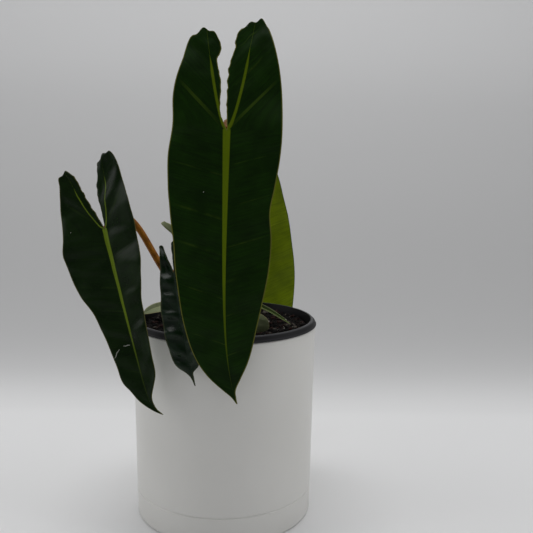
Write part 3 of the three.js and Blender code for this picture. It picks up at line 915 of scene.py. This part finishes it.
def half_skin(bm, leaf, axes, half, skin, layers):
    ribs_layer, edge_layer = layers
    columns = max(8, round(max(leaf["half_width"]) / column_width))
    lobe_rows = max(8, round(max(leaf["lobe"]) / lobe_row_height))
    main_rows = max(16, round(leaf["length"] / row_height))
    rows = lobe_rows + main_rows
    before, faces_before = len(bm.verts), len(bm.faces)
    bmesh.ops.create_grid(bm, x_segments=columns, y_segments=rows, size=0.5)
    bm.verts.ensure_lookup_table()
    bm.faces.ensure_lookup_table()
    for vert in bm.verts[before:]:
        share = max(0, min(1, vert.co.x + 0.5)) ** 1.5
        row = round((0.5 - vert.co.y) * rows) - lobe_rows
        quarter = abs(row) / (lobe_rows if row < 0 else main_rows)
        if row < 0:
            down = -leaf["lobe"][half] / leaf["length"] * math.sin(quarter * math.pi / 2)
        else:
            down = 0.35 * math.sin(quarter * math.pi / 2) + 0.65 * quarter
        inner, outer = edges_at(leaf, down, half)
        aside = inner + (outer - inner) * share
        edge = outer - aside
        if down <= 0:
            edge = min(edge, aside - inner)
        else:
            edge = min(edge, edges_at(leaf, down, 1 - half)[1] + aside)
            edge = min(edge, math.hypot(aside, down * leaf["length"]))
        edge = min(edge, (1 - down) * leaf["length"])
        vert.co = blade_point(leaf, axes, down, aside, half, skin, max(0, edge))
        rib = aside / max(0.05, rib_half_width(leaf, down)) if down >= 0 else 4
        off_rib = (aside - lobe_rib_aside(leaf, down, half)) / lobe_rib_half_width(leaf, down, half)
        if down > 0:
            off_rib += down * leaf["length"] * 4
        vert[ribs_layer] = (rib, off_rib, vein_phase(leaf, down, aside, half) + vein_count_start)
        vert[edge_layer] = (max(0, edge), aside * (2 * half - 1), down * leaf["length"])
    for face in bm.faces[faces_before:]:
        face.material_index = 0 if skin > 0 else 1


def blade(leaf, materials):
    bm = bmesh.new()
    layers = [bm.verts.layers.float_vector.new(name) for name in ("ribs", "edge")]
    axes = leaf_axes(leaf)
    for half in (0, 1):
        for skin in (1, -1):
            half_skin(bm, leaf, axes, half, skin, layers)
    bmesh.ops.remove_doubles(bm, verts=bm.verts, dist=0.004 * mm)
    bmesh.ops.dissolve_degenerate(bm, edges=bm.edges, dist=0.002 * mm)
    bmesh.ops.recalc_face_normals(bm, faces=bm.faces)
    open_edges = [edge for edge in bm.edges if not edge.is_manifold]
    print(leaf["name"], "blade: open edges", len(open_edges))
    name = leaf["name"] + "_blade"
    return finish_piece(bm, name + "_skin", materials, [name], smooth_angle=75)


# %% [markdown]
# ## Leaf skins
# A leaf is a thin waxy sheet. Its upper side is a saturated green with a satin gloss, and the cells
# between the veins make faint cross streaks. Ribs and veins are paler because they hold no green.
# The very edge is a thin line of clear, tan tissue. The underside is paler and duller. The wax is
# what gives grey sheen on the parts that lean back, so gloss matters as much as colour.

# %% Streaks and patches of the green sheet
def green_noise(tree, vein_count, aside):
    """Streaks run along the veins, 1.3 mm from one to the next; patches are soft and much broader."""
    streak_place = node(tree, "CombineXYZ", {"X": vein_count, "Y": aside})
    streak_map = node(tree, "Mapping", {"Vector": streak_place, "Scale": (21.0, 0.045, 1.0)})
    streaks = node(tree, "TexNoise", {
        "Vector": streak_map, "Scale": 1.0, "Detail": 3.0, "Roughness": 0.6,
    })
    spot = node(tree, "TexCoord").outputs["Object"]
    patches = node(tree, "TexNoise", {"Vector": spot, "Scale": 55.0, "Detail": 4.0})
    return streaks, patches


# %% Side veins
def side_veins(tree, vein_count, from_edge, below_stalk, patches, vein_strength, first_vein):
    """A side vein is where the vein count is close to a whole number. It shows in broken lengths and
    dies out before the margin. The first vein of a lobe leaves at 45 degrees and is stronger."""
    off_vein = node(tree, "Math", {0: vein_count, 1: 0.5}, operation="PINGPONG")
    vein = node(tree, "MapRange", {
        "Value": off_vein, "From Min": 0.008, "From Max": 0.03, "To Min": vein_strength, "To Max": 0.0,
    })
    inwards = node(tree, "MapRange", {"Value": from_edge, "From Min": 2.0, "From Max": 12.0})
    broken = node(tree, "MapRange", {
        "Value": patches, "From Min": 0.42, "From Max": 0.62, "To Max": 1.6,
    })
    off_first = node(tree, "Math", {
        0: vein_count, 1: vein_count_start, 2: first_vein_width,
    }, operation="COMPARE")
    in_lobe = node(tree, "MapRange", {
        "Value": from_edge, "From Min": 2.0, "From Max": 14.0, "To Max": first_vein,
    })
    above_stalk = node(tree, "Math", {0: below_stalk, 1: -2.0}, operation="LESS_THAN")
    shown, first = vein, off_first
    for share in (broken, inwards):
        shown = node(tree, "Math", {0: shown, 1: share}, operation="MULTIPLY")
    for share in (above_stalk, in_lobe):
        first = node(tree, "Math", {0: first, 1: share}, operation="MULTIPLY")
    return vein, node(tree, "Math", {0: shown, 1: first}, operation="MAXIMUM")


# %% Midrib and lobe ribs
def rib_share(tree, off_midrib, off_lobe_rib, below_stalk, rib_end):
    """How much a place shows the rib colour. The midrib turns green on its way to the tip."""
    midrib = node(tree, "MapRange", {
        "Value": off_midrib, "From Min": 0.85, "From Max": 1.15, "To Min": 1.0, "To Max": 0.0,
    })
    greening = node(tree, "MapRange", {
        "Value": below_stalk, "From Min": 0.55 * rib_end, "From Max": 0.95 * rib_end,
        "To Min": 1.0, "To Max": 0.2,
    })
    greened = node(tree, "Math", {0: midrib, 1: greening}, operation="MULTIPLY")
    either_side = node(tree, "Math", {0: off_lobe_rib}, operation="ABSOLUTE")
    lobe_rib = node(tree, "MapRange", {
        "Value": either_side, "From Min": 0.6, "From Max": 1.2, "To Min": 0.85, "To Max": 0.0,
    })
    return node(tree, "Math", {0: greened, 1: lobe_rib}, operation="MAXIMUM")


# %% Waxy leaf skin
def leaf_skin(name, blade_colours, rib_colour, vein_colour, edge_colour, gloss, vein_strength=0.4,
              sheen=0.5, edge_width=1.05, first_vein=0.3, rib_end=190):
    """blade_colours are the darkest and the lightest green of the sheet between the veins.
    rib_end is where the midrib has turned green, in mm down from the stalk."""
    material, tree = new_material(name)
    ribs, edge = (
        node(tree, "Attribute", attribute_name=name).outputs["Vector"] for name in ("ribs", "edge")
    )
    off_midrib, off_lobe_rib, vein_count = node(tree, "SeparateXYZ", {"Vector": ribs}).outputs
    from_edge, aside, below_stalk = node(tree, "SeparateXYZ", {"Vector": edge}).outputs

    streaks, patches = green_noise(tree, vein_count, aside)
    vein, any_vein = side_veins(
        tree, vein_count, from_edge, below_stalk, patches, vein_strength, first_vein,
    )
    any_rib = rib_share(tree, off_midrib, off_lobe_rib, below_stalk, rib_end)
    at_edge = node(tree, "MapRange", {
        "Value": from_edge, "From Min": 0.43 * edge_width, "From Max": edge_width,
        "To Min": 0.85, "To Max": 0.0,
    })
    green_share = node(tree, "Math", {0: streaks, 1: patches}, operation="MULTIPLY")
    green_range = node(tree, "MapRange", {"Value": green_share, "From Min": 0.12, "From Max": 0.4})
    colour = linear(blade_colours[0])
    for share, laid_over in (
        (green_range, blade_colours[1]), (any_vein, vein_colour),
        (any_rib, rib_colour), (at_edge, edge_colour),
    ):
        colour = node(tree, "Mix", {
            "Factor": share, "A": colour, "B": linear(laid_over),
        }, data_type="RGBA")

    relief = node(tree, "Math", {0: streaks, 1: vein}, operation="ADD")
    bumps = node(tree, "Bump", {"Height": relief, "Strength": 0.35, "Distance": 0.35 * mm})
    wax = node(tree, "MapRange", {
        "Value": patches, "From Min": 0.3, "From Max": 0.7,
        "To Min": gloss - 0.06, "To Max": gloss + 0.08,
    })
    shader = node(tree, "BsdfPrincipled", {
        "Base Color": colour, "Roughness": wax, "Specular IOR Level": sheen, "IOR": 1.45,
        "Normal": bumps,
    })
    node(tree, "OutputMaterial", {"Surface": shader})
    return material


# %% Skins of the eight leaves
skins = {
    "dark": [
        leaf_skin("leaf_upper_side_dark_waxy", ("#091b01", "#122c02"), "#546605", "#374a10", "#6a6a2c", 0.4,
                  vein_strength=0.26, sheen=0.07, edge_width=0.85, first_vein=0.6),
        leaf_skin("leaf_underside_dark_dull", ("#2c3d12", "#3d4f1c"), "#5f6a1c", "#52622c", "#776a2c", 0.55,
                  sheen=0.2),
    ],
    "deep": [
        leaf_skin("leaf_upper_side_deep_waxy", ("#061501", "#0e2103"), "#5c6f18", "#27380f", "#5c5a30", 0.28,
                  vein_strength=0.2, sheen=0.1, edge_width=0.7, rib_end=118),
        leaf_skin("leaf_underside_deep_dull", ("#26381a", "#36481f"), "#56631f", "#4a5a2a", "#6b6432", 0.55,
                  sheen=0.2),
    ],
    "darkest": [
        leaf_skin("young_leaf_upper_side_dark_waxy", ("#08190a", "#10240f"), "#18281a", "#1a2c18", "#3a3f26",
                  0.24, vein_strength=0.15, sheen=0.22),
        leaf_skin("young_leaf_underside_dark_dull", ("#243414", "#33461e"), "#414c26", "#414f2a", "#4c4f2c",
                  0.5, sheen=0.25),
    ],
    # The back leaf shows its underside. Its bright yellow-green is partly a young leaf's paler tissue and
    # partly a painted backlight, standing in for light that shines through the blade from behind.
    "bright": [
        leaf_skin("new_leaf_upper_side_bright", ("#3a4f0a", "#55690f"), "#7b8420", "#66781c", "#94903c", 0.42,
                  sheen=0.2),
        leaf_skin("new_leaf_underside_bright_painted_backlight", ("#536404", "#728508"), "#929a2a", "#84951e", "#4a5a08", 0.55,
                  vein_strength=0.3, sheen=0.12),
    ],
    "striped": [
        leaf_skin("narrow_leaf_upper_side_striped", ("#26360f", "#3a4c1a"), "#6c7a48", "#5d6b3c", "#7e8654",
                  0.45, sheen=0.15, edge_width=0.5),
        leaf_skin("narrow_leaf_underside_green", ("#34451a", "#465a26"), "#6c7a48", "#5d6b3c", "#7e8654",
                  0.6, sheen=0.15, edge_width=0.5),
    ],
    "pale": [
        leaf_skin("small_leaf_upper_side_pale", ("#5c6444", "#868d6c"), "#98a074", "#848d64", "#9a9468", 0.45,
                  sheen=0.25, edge_width=0.5),
        leaf_skin("small_leaf_underside_pale", ("#6e754f", "#929674"), "#929a6c", "#929a6c", "#9a9468", 0.6,
                  sheen=0.2),
    ],
}

# %% Eight blades
for leaf in leaves:
    blade(leaf, skins[leaf["kind"]])

# %% [markdown]
# ## Stalks
# A leaf stalk leaves the stem from a clasping base, arches over and comes down on the back of its
# blade. It is a ring of points carried along a smooth curve: the ring is extruded and moved step by
# step. It is widest at the base, and it swells a little just before the blade, where the leaf turns
# to the light. Where it leaves the stem steeply, its foot narrows and lies against the stem.

# %% Orange-brown stalk skin
stalk_skin = mottled_material(
    "leaf_stalk_orange_brown_satin", "#6b3d0c", "#a86c1a", mm / 0.16, 0.4, 0.2 * mm, strength=0.2,
    detail=5.0, crumble=0.5, spread=(0.3, 0.7),
)

# %% Stalk of a leaf
stalk_sides = 20
stalk_steps = 64


def bezier(points, t):
    a, b, c, d = points
    s = 1 - t
    return a * s ** 3 + b * 3 * s * s * t + c * 3 * s * t * t + d * t ** 3


def stalk_path(leaf):
    attach, along, out, across = leaf_axes(leaf)
    radius = leaf["stalk_radius"]
    height = mix_height / mm + leaf["node"]
    leave = direction(leaf["aim"], leaf["lift"])
    arrive = (direction(leaf["aim"], -leaf["dive"]) + out * 0.6).normalized()
    off_stem = stem_radius_at(height * mm) / mm + fit_gap / mm + radius * math.sin(math.radians(leaf["lift"]))
    start = direction(leaf["aim"], 0) * off_stem
    start.z = height
    end = attach - out * (0.5 * radius)
    span = (end - start).length
    return start, start + leave * span * leaf["stretch"], end - arrive * span * leaf["arch"], end


def tube(centres, radii, sides):
    """A closed tube along centres in millimetres: one ring of points, extruded from step to step."""
    bm = bmesh.new()
    bmesh.ops.create_circle(bm, cap_ends=False, segments=sides, radius=1)
    ring = bm.verts[:]
    flat = [vert.co.copy() for vert in ring]
    edges = bm.edges[:]
    upward = (centres[1] - centres[0]).orthogonal()
    for step, (centre, radius) in enumerate(zip(centres, radii)):
        heading = centres[min(len(centres) - 1, step + 1)] - centres[max(0, step - 1)]
        heading.normalize()
        upward = (upward - heading * upward.dot(heading)).normalized()
        sideways = heading.cross(upward)
        if step:
            grown = bmesh.ops.extrude_edge_only(bm, edges=edges)["geom"]
            ring = [g for g in grown if isinstance(g, bmesh.types.BMVert)]
            edges = [g for g in grown if isinstance(g, bmesh.types.BMEdge)]
        for vert, shape in zip(ring, flat):
            vert.co = (centre + (upward * shape.x + sideways * shape.y) * radius) * mm
        if step in (0, len(centres) - 1):
            bmesh.ops.contextual_create(bm, geom=edges)
    bmesh.ops.recalc_face_normals(bm, faces=bm.faces)
    return bm


def stalk(leaf):
    path = stalk_path(leaf)
    upright = math.sin(math.radians(leaf["lift"])) ** 2
    foot_share = 0.07
    centres, radii = [], []
    for step in range(stalk_steps + 1):
        t = step / stalk_steps
        clasp = 0.45 * max(0, 1 - t / 0.12) ** 2
        swelling = 0.14 * math.exp(-((t - 0.95) / 0.05) ** 2)
        full = leaf["stalk_radius"] * (1 - 0.12 * t + clasp + swelling)
        foot = min(1, math.sqrt(t / foot_share + 0.04))
        radius = full * (1 - upright + upright * foot)
        centres.append(bezier(path, t) - direction(leaf["aim"], 0) * (full - radius))
        radii.append(radius)
    name = leaf["name"] + "_stalk"
    return finish_piece(tube(centres, radii, stalk_sides), name + "_skin", [stalk_skin],
                        [name], smooth_angle=60)


for leaf in leaves:
    stalk(leaf)

# %% [markdown]
# ## Healed marks
# The left leaf was once nicked. The nick has healed into thin, raised lines of dry pale tissue, and
# both big leaves carry a tiny dry spot. A mark is a fine tube that lies half in the upper skin.

# %% Dry pale tissue
dry_tissue = mottled_material(
    "healed_leaf_tissue_dry_pale", "#3f4436", "#b9bcb2", mm / 0.7, 0.7, 0, strength=0, detail=3.0,
    crumble=0.5, spread=(0, 1), shine=0.5,
)

# %% Marks along short lines
# Each mark names its leaf and half, and then the (down, aside) places in millimetres on its line.
marks = [
    ("nick_inner", "left", 0, [(88.7, 2.8), (88.3, 4.4), (88.6, 6.2), (87.9, 7.9)]),
    ("nick_outer", "left", 0, [(89.6, 10.9), (91.2, 12.5), (91.9, 13.4), (94.1, 14.6), (95.4, 16.4)]),
    ("spot_left", "left", 0, [(-4.7, 26), (-4.1, 26.6)]),
    ("spot_front", "front", 0, [(43.1, 14.8), (43.8, 15.3)]),
]
mark_radius = 0.33
mark_steps = 24
for mark_name, leaf_name, half, places in marks:
    leaf = next(leaf for leaf in leaves if leaf["name"] == leaf_name)
    centres, radii = [], []
    for step in range(mark_steps + 1):
        along = step / mark_steps * (len(places) - 1)
        k = min(int(along), len(places) - 2)
        t = along - k
        down = places[k][0] * (1 - t) + places[k + 1][0] * t
        aside = places[k][1] * (1 - t) + places[k + 1][1] * t
        wiggle = 0.25 * noise.noise(Vector((along * 3, half, len(places))))
        down_share = (down + wiggle) / leaf["length"]
        outer = edges_at(leaf, down_share, half)[1]
        spot = blade_point(leaf, leaf_axes(leaf), down_share, aside, half, 1, outer - aside)
        centres.append(spot / mm)
        end_taper = math.sin(math.pi * (0.12 + 0.76 * step / mark_steps))
        radii.append(mark_radius * end_taper * (1 + 0.4 * noise.noise(Vector((along * 5, 2, 1)))))
    finish_piece(tube(centres, radii, 8), mark_name + "_mark", [dry_tissue],
                 [leaf_name + "_blade"], smooth_angle=60)

# %% [markdown]
# ## Size of the finished plant
# The finished plant has to stay inside the box of the imported model, so both boxes are printed.

# %% Write both boxes
visual_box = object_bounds()
for name, corners in (("CAD", cad_box), ("visual", visual_box)):
    print(name, "box:", [round(v / mm, 1) for corner in corners for v in corner], "mm")
